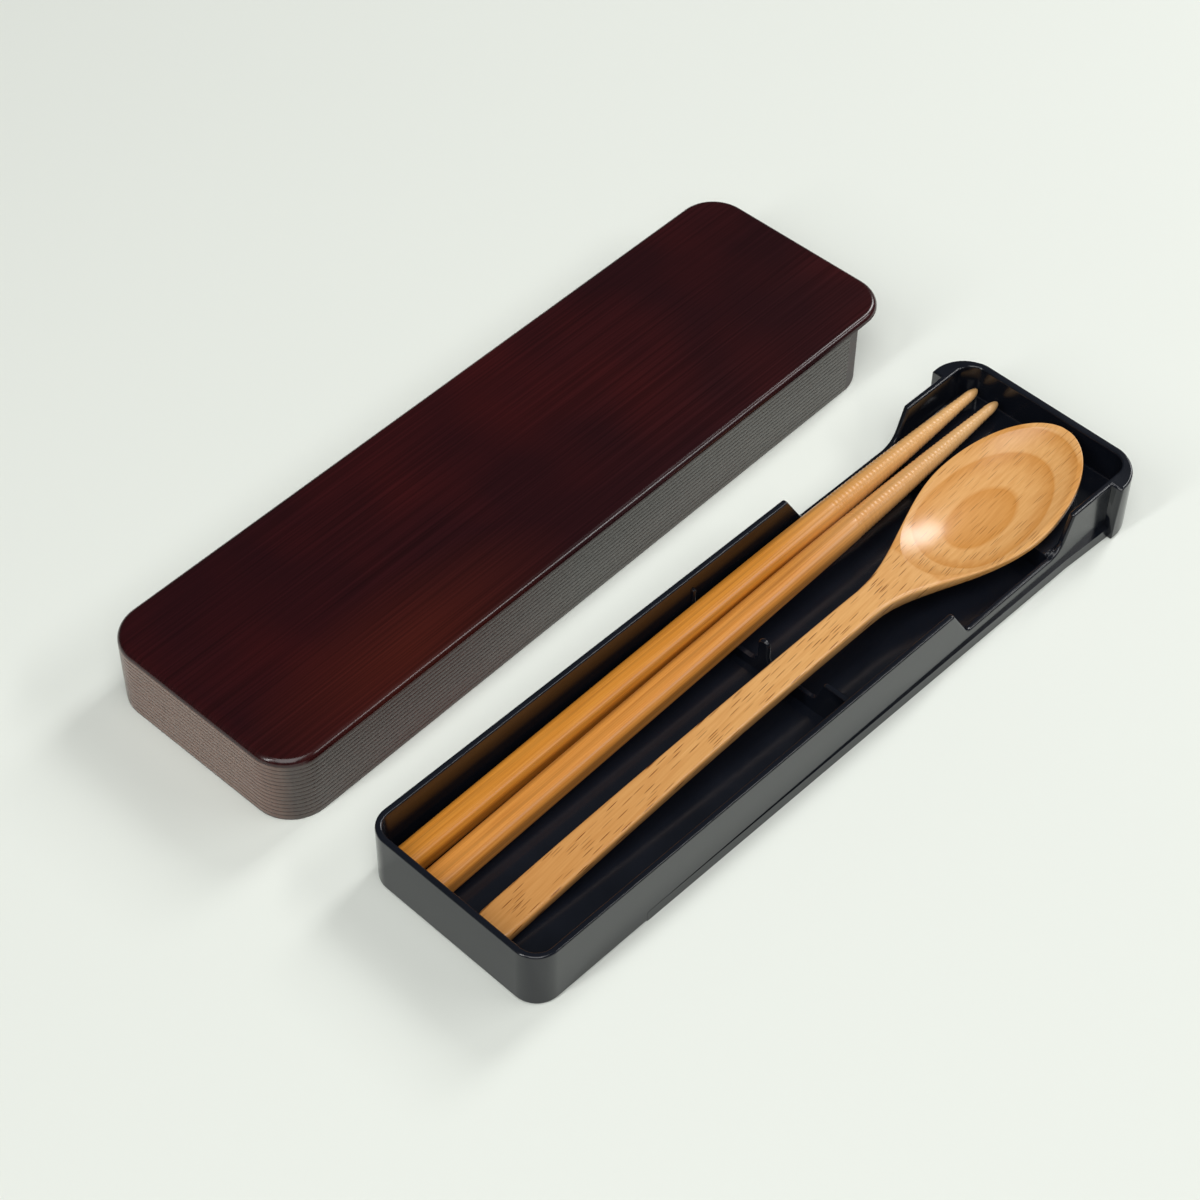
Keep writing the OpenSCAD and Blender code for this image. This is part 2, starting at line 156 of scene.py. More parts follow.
def satin_lacquer(name, looks, near, far, lines):
    """ABS sprayed with a red-brown lacquer: satin, with hairlines along the cover. The closed end's tone is painted
    light, lighter where the front light falls, and the warm patch is a painted reflection.
    """
    material, tree, shader = surface(name, IOR=1.52)
    place = add(tree, "ShaderNodeTexCoord").outputs["Object"]
    turn = (0, 0, -math.radians(COVER_TURN))
    along = add(tree, "ShaderNodeMapping", {"Vector": place, "Rotation": turn}).outputs[0]
    # A hairline is half a millimetre from the next and runs for some 70 mm. Down the walls it changes every 5 mm.
    spans = (1 / looks.hairline_pitch, 1 / (71.4 * MM), 1 / (5 * MM))
    stretched = add(tree, "ShaderNodeMapping", {"Vector": along, "Scale": spans}).outputs[0]
    hair = add(tree, "ShaderNodeTexNoise", {"Vector": stretched, "Scale": 1.0, "Detail": 2.0, "Roughness": 0.5})
    # The near tone is painted light: it lies on the closed end, lit from the front, and gives way to the far tone
    # within 4 mm, where the corners turn.
    run = add(tree, "ShaderNodeSeparateXYZ", {"Vector": along}).outputs["Y"]
    end = add(tree, "ShaderNodeMapRange", {"Value": run, "From Min": -105.2 * MM, "From Max": -100 * MM})
    tone = add(tree, "ShaderNodeMix", {"Factor": end.outputs[0], "A": (*near, 1), "B": (*far, 1)}, data_type="RGBA")
    # Redder clouds, some 45 mm wide, show where the coat is thin.
    cloud = add(tree, "ShaderNodeTexNoise", {"Vector": along, "Scale": 1 / (45.45 * MM), "Detail": 2.0})
    thick = add(tree, "ShaderNodeMapRange",
                {"Value": cloud.outputs["Fac"], "From Min": 0.42, "From Max": 0.66, "To Max": 0.6 * lines})
    clouded = add(tree, "ShaderNodeMix", {"Factor": thick.outputs[0], "A": tone.outputs["Result"],
                                          "B": (*looks.warm_colour, 1)}, data_type="RGBA")
    shade = add(tree, "ShaderNodeValToRGB", {"Fac": hair.outputs["Fac"]}, [(0.3, grey(0.72)), (0.7, grey(1.3))])
    # The warm patch by the long edge is a painted reflection; it reaches 21 mm across and 50 mm along.
    reach = (1 / (20.83 * MM), 1 / (50 * MM), 0.0)
    patch = add(tree, "ShaderNodeMapping",
                {"Vector": along, "Location": looks.patch_at, "Scale": reach}).outputs[0]
    painted_reflection = add(tree, "ShaderNodeTexGradient", {"Vector": patch}, gradient_type="SPHERICAL")
    reflected = add(tree, "ShaderNodeMix", {"Factor": painted_reflection.outputs["Fac"], "A": clouded.outputs["Result"],
                                          "B": (*looks.reflection_colour, 1)}, data_type="RGBA")
    paint = add(tree, "ShaderNodeMix", {"Factor": lines, "A": reflected.outputs["Result"], "B": shade.outputs[0]},
                data_type="RGBA", blend_type="MULTIPLY")
    gloss = add(tree, "ShaderNodeMapRange",
                {"Value": hair.outputs["Fac"], "To Min": looks.roughness - 0.06, "To Max": looks.roughness + 0.08})
    relief = add(tree, "ShaderNodeBump",
                 {"Height": hair.outputs["Fac"], "Strength": 0.15 * lines, "Distance": 0.06 * MM})
    tree.links.new(paint.outputs["Result"], shader.inputs["Base Color"])
    tree.links.new(gloss.outputs[0], shader.inputs["Roughness"])
    tree.links.new(relief.outputs[0], shader.inputs["Normal"])
    return material


def gloss_abs(looks):
    """Black ABS from a polished mould: deep gloss, with the faint waviness and wear haze of a thin wall."""
    material, tree, shader = surface("gloss_abs_moulded", IOR=1.5)
    place = add(tree, "ShaderNodeTexCoord").outputs["Object"]
    # The haze comes in patches of 11 mm, and the wall's waves are 7 mm long.
    haze = add(tree, "ShaderNodeTexNoise", {"Vector": place, "Scale": 1 / (11.11 * MM), "Detail": 3.0})
    wave = add(tree, "ShaderNodeTexNoise", {"Vector": place, "Scale": 1 / (7.143 * MM), "Detail": 1.0})
    tone = add(tree, "ShaderNodeValToRGB", {"Fac": haze.outputs["Fac"]},
               [(0.3, (*looks.colour, 1)), (0.75, (*(1.35 * c for c in looks.colour), 1))])
    gloss = add(tree, "ShaderNodeMapRange",
                {"Value": haze.outputs["Fac"], "To Min": looks.roughness - 0.04, "To Max": looks.roughness + 0.06})
    relief = add(tree, "ShaderNodeBump", {"Height": wave.outputs["Fac"], "Strength": 0.08, "Distance": 0.2 * MM})
    tree.links.new(tone.outputs[0], shader.inputs["Base Color"])
    tree.links.new(gloss.outputs[0], shader.inputs["Roughness"])
    tree.links.new(relief.outputs[0], shader.inputs["Normal"])
    return material


def varnished_wood(name, looks, wood_colour):
    """Straight-grained wood under clear varnish: soft orange-tan stripes that run along the chopstick."""
    material, tree, shader = surface(name, IOR=1.5)
    place = add(tree, "ShaderNodeUVMap", uv_map="skin").outputs[0]
    # A stripe runs for some 170 mm. The fibres in it are a fifth as wide and run for 25 mm.
    stripe_spans = (1 / looks.stripe_width, 1 / (166.7 * MM), 1.0)
    fibre_spans = (1 / (0.2 * looks.stripe_width), 1 / (25 * MM), 1.0)
    broad = add(tree, "ShaderNodeMapping", {"Vector": place, "Scale": stripe_spans})
    fine = add(tree, "ShaderNodeMapping", {"Vector": place, "Scale": fibre_spans})
    stripe = add(tree, "ShaderNodeTexNoise", {"Vector": broad.outputs[0], "Scale": 1.0, "Detail": 2.0},
                 noise_dimensions="2D")
    fibre = add(tree, "ShaderNodeTexNoise", {"Vector": fine.outputs[0], "Scale": 1.0, "Detail": 3.0},
                noise_dimensions="2D")
    tone = add(tree, "ShaderNodeValToRGB", {"Fac": stripe.outputs["Fac"]},
               [(0.3, (*(0.79 * c for c in wood_colour), 1)), (0.5, (*wood_colour, 1)),
                (0.7, (*(min(1.0, 1.1 * c) for c in wood_colour), 1))])
    shade = add(tree, "ShaderNodeValToRGB", {"Fac": fibre.outputs["Fac"]},
                [(0.3, linear("#ebe0d0")), (0.6, linear("#ffffff"))])
    wood = add(tree, "ShaderNodeMix", {"Factor": 1.0, "A": tone.outputs[0], "B": shade.outputs[0]},
               data_type="RGBA", blend_type="MULTIPLY")
    # The grooved end and the far half are painted paler: a painted sheen, where the window at the back glances off the
    # wood.
    where = add(tree, "ShaderNodeTexCoord").outputs["Object"]
    run = add(tree, "ShaderNodeSeparateXYZ", {"Vector": where}).outputs["Y"]
    end = add(tree, "ShaderNodeMapRange",
              {"Value": run, "From Min": 20 * MM, "From Max": 85 * MM, "To Max": 0.6})
    pale = add(tree, "ShaderNodeMix",
               {"Factor": end.outputs[0], "A": wood.outputs["Result"], "B": (*looks.tip_sheen_colour, 1)},
               data_type="RGBA")
    gloss = add(tree, "ShaderNodeMapRange",
                {"Value": fibre.outputs["Fac"], "To Min": looks.roughness - 0.05, "To Max": looks.roughness + 0.1})
    relief = add(tree, "ShaderNodeBump", {"Height": fibre.outputs["Fac"], "Strength": 0.25, "Distance": 0.05 * MM})
    tree.links.new(pale.outputs["Result"], shader.inputs["Base Color"])
    tree.links.new(gloss.outputs[0], shader.inputs["Roughness"])
    tree.links.new(relief.outputs[0], shader.inputs["Normal"])
    return material


def oiled_beech(looks):
    """Beech, carved and sealed: even warm tan, short dark ray flecks, faint rings cut open by the dish."""
    material, tree, shader = surface("oiled_beech", IOR=1.58)
    place = add(tree, "ShaderNodeTexCoord").outputs["Object"]
    # The wood was sawn with its grain a little across the spoon.
    # It also leans over to one side, so that the flecks do not run straight down the edges.
    turned = add(tree, "ShaderNodeMapping",
                 {"Vector": place, "Rotation": (0, -looks.grain_lean, -looks.grain_turn)}).outputs[0]
    # The layers lie nearly level, so the dish cuts them into ovals, as on a real carved bowl.
    # They are counted in millimetres upwards and wander over 17 mm across and 50 mm along.
    tipped = add(tree, "ShaderNodeMapping", {"Vector": place, "Rotation": (-looks.ring_tilt, 0, 0)}).outputs[0]
    layers = add(tree, "ShaderNodeMapping",
                 {"Vector": tipped, "Scale": (1 / (16.667 * MM), 1 / (50 * MM), 1 / MM)})
    # At a scale of 1 the bands of a Wave texture are this far apart.
    wave_gap = 0.314
    rings = add(tree, "ShaderNodeTexWave",
                {"Vector": layers.outputs[0], "Scale": wave_gap / looks.ring_mm, "Distortion": 0.5, "Detail": 1.0,
                 "Detail Scale": 0.4, "Phase Offset": looks.ring_phase},
                bands_direction="Z", wave_profile="SAW")
    # The fine grain is half a millimetre wide, 14 mm long and a millimetre deep.
    grain_spans = (1 / (0.45454 * MM), 1 / (14.286 * MM), 1 / (1.1111 * MM))
    long_grain = add(tree, "ShaderNodeMapping", {"Vector": turned, "Scale": grain_spans})
    grain = add(tree, "ShaderNodeTexNoise", {"Vector": long_grain.outputs[0], "Scale": 1.0, "Detail": 3.0})
    dashes = add(tree, "ShaderNodeMapping",
                 {"Vector": turned, "Scale": (1 / looks.fleck_gap, 1 / looks.fleck_run, 1.0)})
    fleck = add(tree, "ShaderNodeTexVoronoi", {"Vector": dashes.outputs[0], "Scale": 1.0, "Randomness": 1.0},
                voronoi_dimensions="2D")
    # A ring darkens towards its late wood and then starts anew with a clear edge.
    late = add(tree, "ShaderNodeValToRGB", {"Fac": rings.outputs["Fac"]},
               [(0.0, grey(0.8)), (0.08, grey(0.0)), (0.4, grey(0.1)), (1.0, grey(1.0))])
    # The handle runs along the layers and hardly cuts them.
    run = add(tree, "ShaderNodeSeparateXYZ", {"Vector": place}).outputs["Y"]
    cut = add(tree, "ShaderNodeMapRange",
              {"Value": run, "From Min": 30 * MM, "From Max": 50 * MM, "To Min": 0.1})
    band = add(tree, "ShaderNodeMath", {0: late.outputs[0], 1: cut.outputs[0]}, operation="MULTIPLY")
    base = add(tree, "ShaderNodeMix",
               {"Factor": band.outputs[0], "A": (*looks.wood_colour, 1), "B": (*looks.late_colour, 1)},
               data_type="RGBA")
    shade = add(tree, "ShaderNodeValToRGB", {"Fac": grain.outputs["Fac"]},
                [(0.3, linear("#f2e9de")), (0.65, linear("#ffffff"))])
    wood = add(tree, "ShaderNodeMix", {"Factor": 1.0, "A": base.outputs["Result"], "B": shade.outputs[0]},
               data_type="RGBA", blend_type="MULTIPLY")
    # The handle's near end is painted darker: painted shade, standing in for the sheen that lights the far half.
    near_shade = add(tree, "ShaderNodeMapRange", {"Value": run, "From Min": 10 * MM, "From Max": -100 * MM})
    shaded_wood = add(tree, "ShaderNodeMix",
               {"Factor": near_shade.outputs[0], "A": wood.outputs["Result"], "B": (*looks.near_shade_tint, 1)},
               data_type="RGBA", blend_type="MULTIPLY")
    mark = add(tree, "ShaderNodeValToRGB", {"Fac": fleck.outputs["Distance"]}, [(0.11, grey(1.0)), (0.17, grey(0.0))])
    lot = add(tree, "ShaderNodeSeparateColor", {"Color": fleck.outputs["Color"]})
    chance = add(tree, "ShaderNodeMapRange", {"Value": lot.outputs["Red"], "To Min": 0.3})
    # The bowl is cut along other layers, where the flecks show less.
    faint = add(tree, "ShaderNodeMapRange",
                {"Value": run, "From Min": 30 * MM, "From Max": 60 * MM, "To Min": 1.0, "To Max": 0.5})
    shown = add(tree, "ShaderNodeMath", {0: chance.outputs[0], 1: faint.outputs[0]}, operation="MULTIPLY")
    seen = add(tree, "ShaderNodeMath", {0: mark.outputs[0], 1: shown.outputs[0]}, operation="MULTIPLY")
    flecked = add(tree, "ShaderNodeMix",
                  {"Factor": seen.outputs[0], "A": shaded_wood.outputs["Result"], "B": (*looks.fleck_colour, 1)},
                  data_type="RGBA")
    relief = add(tree, "ShaderNodeBump", {"Height": grain.outputs["Fac"], "Strength": 0.15, "Distance": 0.04 * MM})
    gloss = add(tree, "ShaderNodeMapRange",
                {"Value": grain.outputs["Fac"], "To Min": looks.roughness - 0.04, "To Max": looks.roughness + 0.06})
    tree.links.new(flecked.outputs["Result"], shader.inputs["Base Color"])
    tree.links.new(gloss.outputs[0], shader.inputs["Roughness"])
    tree.links.new(relief.outputs[0], shader.inputs["Normal"])
    return material


def matt_table(looks):
    """A pale matt table top: one even tone with a trace of mottling."""
    material, tree, shader = surface("matt_pale_table", Roughness=0.7)
    place = add(tree, "ShaderNodeTexCoord").outputs["Object"]
    # The mottles are a third of a metre wide.
    mottle = add(tree, "ShaderNodeTexNoise", {"Vector": place, "Scale": 1 / (333.3 * MM), "Detail": 2.0})
    tone = add(tree, "ShaderNodeValToRGB", {"Fac": mottle.outputs["Fac"]},
               [(0.3, (*(0.985 * c for c in looks.floor_colour), 1)), (0.7, (*looks.floor_colour, 1))])
    tree.links.new(tone.outputs[0], shader.inputs["Base Color"])
    return material


def softened(node, width, segments, above=-1.0):
    """A welded copy of a solid whose sharp edges that lie higher than above (all of them if not given) are rounded."""
    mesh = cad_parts[node].data.copy()
    mesh.name = node + "_moulding"
    mesh.materials.clear()
    shape = bmesh.new()
    shape.from_mesh(mesh)
    bmesh.ops.remove_doubles(shape, verts=shape.verts, dist=WELD_GAP)
    bmesh.ops.dissolve_limit(shape, angle_limit=FLAT_ANGLE, verts=shape.verts, edges=shape.edges)
    for face in shape.faces:
        face.smooth = True
    weight = shape.edges.layers.float.new("bevel_weight_edge")
    for line in shape.edges:
        sharp = line.calc_face_angle(0.0) > SHARP_ANGLE
        high = min(v.co.z for v in line.verts) > above
        line[weight] = 1.0 if sharp and high else 0.0
        line.smooth = high or not sharp
    shape.to_mesh(mesh)
    shape.free()
    for name in [a.name for a in mesh.attributes if a.name in ("custom_normal", "sharp_face")]:
        mesh.attributes.remove(mesh.attributes[name])
    piece = bpy.data.objects.new(mesh.name, mesh)
    bpy.context.scene.collection.objects.link(piece)
    edge = piece.modifiers.new("edge_round", "BEVEL")
    edge.width = width
    edge.segments = segments
    edge.limit_method = "WEIGHT"
    edge.miter_outer = "MITER_ARC"
    edge.use_clamp_overlap = False
    even = piece.modifiers.new("even_normals", "WEIGHTED_NORMAL")
    even.keep_sharp = True
    even.weight = 80
    return piece


def lofted(name, rings, skin):
    """A mesh skinned over rings of points, closed by a fan at each end; skin gives a UV for each point."""
    count, around = rings.shape[:2]
    points = [tuple(p) for ring in rings for p in ring]
    points += [tuple(rings[0].mean(0)), tuple(rings[-1].mean(0))]
    faces = []
    uvs = []
    for i in range(count - 1):
        for j in range(around):
            k = (j + 1) % around
            faces.append((i * around + j, i * around + k, (i + 1) * around + k, (i + 1) * around + j))
            uvs += [skin(i, j), skin(i, j + 1), skin(i + 1, j + 1), skin(i + 1, j)]
    for end, hub in ((0, len(points) - 2), (count - 1, len(points) - 1)):
        for j in range(around):
            first, second = (j + 1, j) if end == 0 else (j, j + 1)
            faces.append((end * around + first % around, end * around + second % around, hub))
            uvs += [skin(end, first), skin(end, second), skin(end, j)]
    mesh = bpy.data.meshes.new(name)
    mesh.from_pydata(points, [], faces)
    layer = mesh.uv_layers.new(name="skin")
    layer.data.foreach_set("uv", np.array(uvs, float).ravel())
    shape = bmesh.new()
    shape.from_mesh(mesh)
    bmesh.ops.recalc_face_normals(shape, faces=shape.faces)
    for face in shape.faces:
        face.smooth = True
    shape.to_mesh(mesh)
    shape.free()
    piece = bpy.data.objects.new(name, mesh)
    bpy.context.scene.collection.objects.link(piece)
    return piece


def seat(piece, body, material, node=None):
    """Gives a piece its material, its body and the solid that it stands for."""
    piece.data.materials.clear()
    piece.data.materials.append(material)
    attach(piece, body)
    if node:
        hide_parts(node)


def rib_tree(looks, material):
    """Nodes that sweep a low round rib along the cover's walls and repeat it up the wall."""
    tree = bpy.data.node_groups.new("cover_ribs", "GeometryNodeTree")
    face = tree.interface
    face.new_socket("Geometry", in_out="OUTPUT", socket_type="NodeSocketGeometry")
    sizes = [("Width", looks.width), ("Run", looks.rib_run), ("Corner", looks.corner), ("Pitch", looks.rib_pitch),
             ("First", looks.rib_first), ("Rib Width", looks.rib_width), ("Rib Height", looks.rib_height)]
    for name, value in sizes:
        face.new_socket(name, in_out="INPUT", socket_type="NodeSocketFloat").default_value = value
    face.new_socket("Count", in_out="INPUT", socket_type="NodeSocketInt").default_value = looks.rib_count
    given = add(tree, "NodeGroupInput").outputs
    half = add(tree, "ShaderNodeMath", {0: given["Width"], 1: 0.5}, operation="MULTIPLY").outputs[0]
    left = add(tree, "ShaderNodeMath", {0: half, 1: -1.0}, operation="MULTIPLY").outputs[0]
    corners = [add(tree, "ShaderNodeCombineXYZ", values).outputs[0] for values in (
        {"X": left, "Y": given["Run"]}, {"X": left}, {"X": half}, {"X": half, "Y": given["Run"]})]
    walls = add(tree, "GeometryNodeCurvePrimitiveQuadrilateral",
                {f"Point {i + 1}": p for i, p in enumerate(corners)}, mode="POINTS")
    opened = add(tree, "GeometryNodeSetSplineCyclic", {"Geometry": walls.outputs[0], "Cyclic": False})
    path = add(tree, "GeometryNodeFilletCurve",
               {"Curve": opened.outputs[0], "Count": 14, "Radius": given["Corner"]}, mode="POLY")
    upright = add(tree, "GeometryNodeSetCurveNormal", {"Curve": path.outputs[0]}, mode="Z_UP")
    across = add(tree, "ShaderNodeCombineXYZ", {"X": given["Rib Height"], "Y": given["Rib Width"], "Z": 1.0})
    ring = add(tree, "GeometryNodeCurvePrimitiveCircle", {"Resolution": 10, "Radius": 1.0}, mode="RADIUS")
    profile = add(tree, "GeometryNodeTransform", {"Geometry": ring.outputs[0], "Scale": across.outputs[0]})
    rib = add(tree, "GeometryNodeCurveToMesh",
              {"Curve": upright.outputs[0], "Profile Curve": profile.outputs[0], "Fill Caps": True})
    rise = add(tree, "ShaderNodeCombineXYZ", {"Z": given["Pitch"]})
    start = add(tree, "ShaderNodeCombineXYZ", {"Z": given["First"]})
    rows = add(tree, "GeometryNodeMeshLine",
               {"Count": given["Count"], "Start Location": start.outputs[0], "Offset": rise.outputs[0]})
    ribs = add(tree, "GeometryNodeInstanceOnPoints", {"Points": rows.outputs[0], "Instance": rib.outputs[0]})
    real = add(tree, "GeometryNodeRealizeInstances", {"Geometry": ribs.outputs[0]})
    shaded = add(tree, "GeometryNodeSetShadeSmooth", {"Geometry": real.outputs[0]})
    painted = add(tree, "GeometryNodeSetMaterial", {"Geometry": shaded.outputs[0], "Material": material})
    add(tree, "NodeGroupOutput", {"Geometry": painted.outputs[0]})
    return tree


def baked(name, tree):
    """A plain mesh object with the result of a node tree."""
    holder = bpy.data.objects.new(name, bpy.data.meshes.new(name + "_seed"))
    bpy.context.scene.collection.objects.link(holder)
    holder.modifiers.new("nodes", "NODES").node_group = tree
    bpy.context.view_layer.update()
    mesh = bpy.data.meshes.new_from_object(holder.evaluated_get(bpy.context.evaluated_depsgraph_get()))
    holder.modifiers.clear()
    holder.data = mesh
    mesh.name = name
    return holder


def turned_radius(looks, t):
    """Radius of the chopstick's taper at distance t from its grip's end, in millimetres."""
    full = math.sqrt(2) * (looks.width - 2 * looks.edge) + 2 * looks.edge
    return (looks.tip + (full - looks.tip) * (1 - (t / looks.length) ** looks.taper)) / 2


def square_radius(looks, angle):
    """Distance from the axis to the skin of the square grip with round edges, in millimetres."""
    half = looks.width / 2
    a = abs((angle + math.pi / 4) % (math.pi / 2) - math.pi / 4)
    if half * math.tan(a) <= half - looks.edge:
        return half / math.cos(a)
    b = math.pi / 4 - a
    c = math.sqrt(2) * (half - looks.edge)
    return c * math.cos(b) + math.sqrt(looks.edge**2 - (c * math.sin(b)) ** 2)


def stick_rings(looks, around, seed):
    """Rings of a chopstick along +Y in millimetres, with anti-slip grooves of uneven depth near its tip."""
    end_round, end_step = 0.35, 0.1
    shallow, deep = 0.4, 1.3
    shaft_rings, groove_rings = 70, 6
    dome_turns = np.linspace(0.06, 1.5, 14)
    # Where the square grip meets the taper, the skin is blended over this width, and raised by what the blend takes.
    soft, raised = 0.1, 0.02
    groove_start = looks.length - looks.groove_run
    dome = looks.length - looks.dome
    count = int((dome - groove_start) / looks.groove_pitch) + 1
    depths = looks.groove_depth * np.random.default_rng(seed).uniform(shallow, deep, count)
    places = list(np.linspace(end_round, groove_start, shaft_rings, endpoint=False))
    places += list(np.arange(groove_start, dome, looks.groove_pitch / groove_rings))
    angles = np.arange(around) * 2 * math.pi / around - math.pi / 2
    square = np.array([square_radius(looks, a) for a in angles])
    rings = []

    def ring(t, radius, grip):
        r = -soft * np.log(np.exp(-np.full(around, radius) / soft) + np.exp(-grip / soft)) + raised
        rings.append(np.stack([r * np.cos(angles), np.full(around, t), r * np.sin(angles)], 1))

    for inset, t in ((end_round, 0.0), (end_step, end_step)):
        ring(t, turned_radius(looks, 0) - inset, square - inset)
    for t in places:
        turns = max(0.0, (t - groove_start) / looks.groove_pitch)
        wave = 0.5 - 0.5 * math.cos(2 * math.pi * turns)
        ring(t, turned_radius(looks, t) - depths[int(turns)] * wave, square)
    last = turned_radius(looks, dome)
    for a in dome_turns:
        ring(dome + looks.dome * math.sin(a), last * math.cos(a), square)
    return np.array(rings)


def stick_place(looks, x, turn):
    """Where a chopstick lies: on the tray's floor at its grip and on the deck's edge near its tip."""
    reach = DECK_Y - STICK_START
    rise = DECK_H + turned_radius(looks, reach) - TRAY_FLOOR - looks.width / 2
    tilt = math.atan2(rise, reach)
    at = Matrix.Translation((x, STICK_START - TRAY_L / 2, TRAY_FLOOR + REST_GAP + looks.width / 2))
    return at @ Matrix.Rotation(math.radians(turn), 4, "Z") @ Matrix.Rotation(tilt, 4, "X")


class SpoonForm:
    """The spoon's outline, height and thickness along its length, in millimetres."""

    # How far the spoon keeps from the ends and from the right side of the tray's bay.
    END_PLAY = 3.7
    START = TRAY_WALL + 2.4
    SIDE_PLAY = 1.85
    # Where the form changes: the waist as a share of the way to the widest section, the arch, the thickness and the
    # start of the dip as shares of the length, and the rest as shares of the neck.
    WAIST_AT = 0.55
    ARCH_AT = 0.5
    THICK_AT = 0.5
    DIP_FROM = 0.6
    DIP_TO = 0.77
    BOWL_FROM = 0.2
    BOWL_TO = 0.75
    RISE_FROM = 0.6
    # How much of the rise is bent, how high the handle's sides stand, how round the belly is.
    RISE_BEND = 0.35
    SIDE_SHARE = 0.7
    BELLY_POWER = 0.7
    # The first and the last section stand this far inside the ends, and no strip or rounding is smaller.
    LEAST = 0.1
    # The points of the dish span at least this share of a section's width.
    DISH_LEAST = 0.3
    # Points of a section: each edge, each strip of rim, the dish and the belly.
    EDGE_POINTS, RIM_POINTS, DISH_POINTS, BELLY_POINTS = 6, 7, 49, 33
    # Sections over the handle's end, the handle, the mouth (from a little past the neck's start) and the tip.
    END_SECTIONS, HANDLE_SECTIONS, MOUTH_SECTIONS, TIP_SECTIONS = 10, 40, 64, 44
    MOUTH_FROM = 8
    # Places along the bowl that are tried for the one that rests on the deck.
    DECK_STEPS = 57

    def __init__(self, looks):
        self.k = looks
        self.length = BAY_L - self.END_PLAY
        self.widest = self.length - looks.bowl_tip
        self.neck = self.widest - looks.neck

    def half(self, s):
        """Half width at s."""
        k = self.k
        handle = k.handle_width + (k.waist - k.handle_width) * smooth(0, self.WAIST_AT * self.widest, s)
        grown = handle + (k.bowl_width - handle) * smooth(self.neck, self.widest, s)
        end = math.sqrt(1 - (1 - 2 * s / k.handle_width) ** 2) if s < k.handle_width / 2 else 1
        return grown / 2 * end * self.tip_share(s)

    def tip_share(self, s):
        """Share of the bowl's width and depth left at s, 0 at the tip."""
        return 1 if s < self.widest else math.sqrt(max(0, 1 - ((s - self.widest) / self.k.bowl_tip) ** 2))

    def bowl_share(self, s):
        """Share of the bowl in the section at s."""
        return smooth(self.neck + self.BOWL_FROM * self.k.neck, self.neck + self.BOWL_TO * self.k.neck, s)

    def top(self, s):
        """Height of the edge line: an arched handle, a dip and a rising bowl."""
        k = self.k
        arch = k.arch * math.sin(math.pi / 2 * min(1, s / (self.ARCH_AT * self.length)))
        dip = k.dip * smooth(self.DIP_FROM * self.length, self.neck + self.DIP_TO * k.neck, s)
        start = self.neck + self.RISE_FROM * k.neck
        rise = max(0, s - start) / (self.length - start)
        bent = self.RISE_BEND * rise * rise + (1 - self.RISE_BEND) * rise
        return k.handle_end + arch - dip + k.rise * bent

    def handle(self, s):
        """Thickness of the handle at s."""
        k = self.k
        return k.handle_end + (k.handle_thick - k.handle_end) * smooth(0, self.THICK_AT * self.length, s)

    def depth(self, s):
        """Whole thickness at s, from the edge line down to the belly."""
        k = self.k
        b = self.bowl_share(s)
        full = k.rim + (k.dish + k.bowl_thick - k.rim) * self.tip_share(s)
        return self.handle(s) * (1 - b) + full * b

    def dish_share(self, s):
        """Share of the dish's full depth at s: an oval with a crisp edge across the neck."""
        reach = self.k.dish_run if s < self.widest else self.k.bowl_tip - self.k.rim
        return max(0.0, 1 - ((s - self.widest) / reach) ** 2)

    def section(self, s):
        """Closed section at s: a round edge, the dished top and a round edge, then the belly back."""
        k = self.k
        w, z, d, b = self.half(s), self.top(s), self.depth(s), self.bowl_share(s)
        share = self.dish_share(s)
        oval = k.bowl_width / 2 - k.rim
        drop = self.LEAST + (min(k.handle_edge, w / 2) - self.LEAST) * (1 - b)
        soft = max(drop, min(k.rim_edge, w / 2))
        inner = min(w - soft - self.LEAST, max(self.DISH_LEAST * w, oval * math.sqrt(share)))
        turns = np.linspace(0, math.pi / 2, self.EDGE_POINTS)
        ring = [(soft * (1 - math.cos(t)) - w, s, z - soft * (1 - math.sin(t))) for t in turns]
        across = list(np.linspace(soft - w, -inner, self.RIM_POINTS)[1:-1])
        across += list(-inner * np.cos(np.linspace(0, math.pi, self.DISH_POINTS)))
        across += list(np.linspace(inner, w - soft, self.RIM_POINTS)[1:-1])
        ring += [(x, s, z - k.dish * max(0, share - (x / oval) ** 2)) for x in across]
        ring += [(-x, s, h) for x, s, h in reversed(ring[: len(turns)])]
        side = self.SIDE_SHARE * (self.handle(s) - k.handle_edge) * (1 - b) + k.rim * b
        for u in np.cos(np.linspace(0, math.pi, self.BELLY_POINTS)):
            round_off = max(0, 1 - u * u) ** self.BELLY_POWER
            ring.append((w * u, s, z - drop - side - (d - drop - side) * round_off))
        return ring

    def places(self):
        """Where the sections stand: closer at the handle's round end, over the neck and towards the tip."""
        end = self.k.handle_width / 2
        mouth_start = self.neck + self.MOUTH_FROM
        turns = np.linspace(math.acos(1 - self.LEAST / end), math.pi / 2, self.END_SECTIONS)
        handle = np.linspace(end, mouth_start, self.HANDLE_SECTIONS)[1:]
        mouth = np.linspace(mouth_start, self.widest, self.MOUTH_SECTIONS)[1:]
        sweep = np.linspace(0, math.asin(1 - self.LEAST / self.k.bowl_tip), self.TIP_SECTIONS)[1:]
        return [*(end * (1 - np.cos(turns))), *handle, *mouth, *(self.widest + self.k.bowl_tip * np.sin(sweep))]

